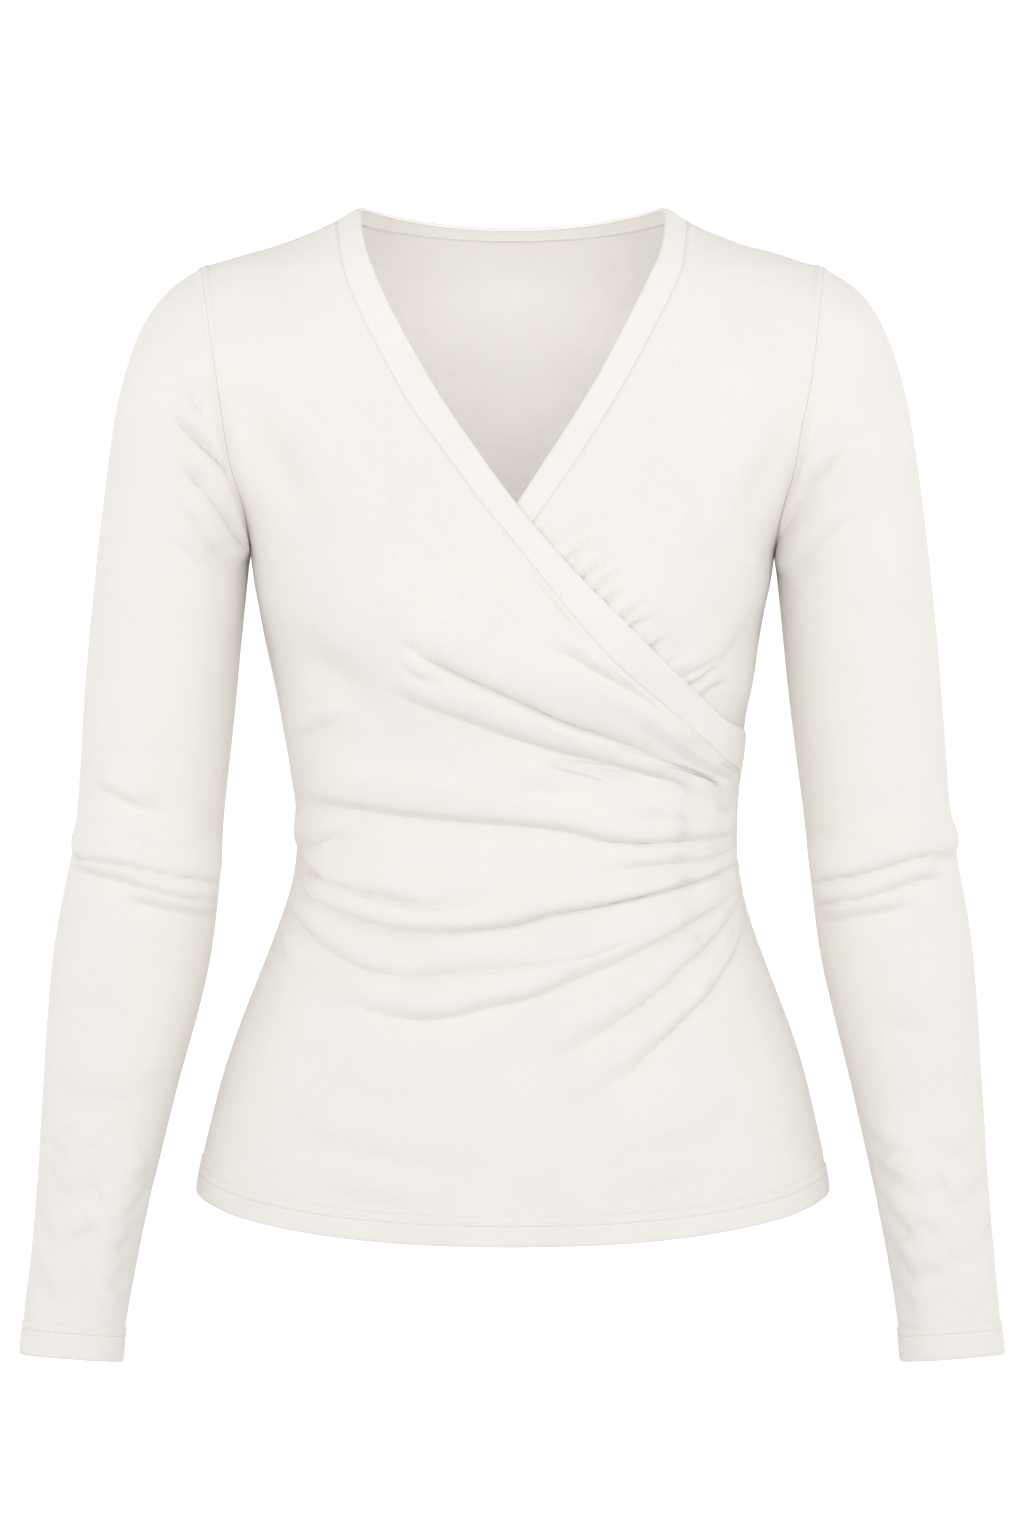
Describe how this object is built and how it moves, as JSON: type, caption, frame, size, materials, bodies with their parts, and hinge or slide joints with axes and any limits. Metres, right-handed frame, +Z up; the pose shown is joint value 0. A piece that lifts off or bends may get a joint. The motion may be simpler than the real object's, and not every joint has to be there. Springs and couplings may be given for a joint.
{
  "type": "wrap top",
  "caption": "Hollow long-sleeved crossover jersey top, worn shape, with a gathered side seam, neckband, turned hem and cuffs.",
  "frame": {"origin": "midway between the two shoulder seams where they meet the neckband, where the wearer's shoulders hold the garment", "axes": "+Z up along the body, -Y is the front, +X is the wearer's left"},
  "size_m": [0.568, 0.2382, 0.6685],
  "materials": {
    "jersey": "fine off-white jersey knit, matt with a faint soft sheen",
    "band": "the same jersey, doubled and smooth"
  },
  "bodies": {
    "root": {"back": "jersey", "front_right": "jersey", "front_left": "jersey", "sleeve_right": "jersey", "sleeve_left": "jersey", "band_front_right": "band", "band_front_left": "band", "band_back_neck": "band"}
  },
  "joints": []
}
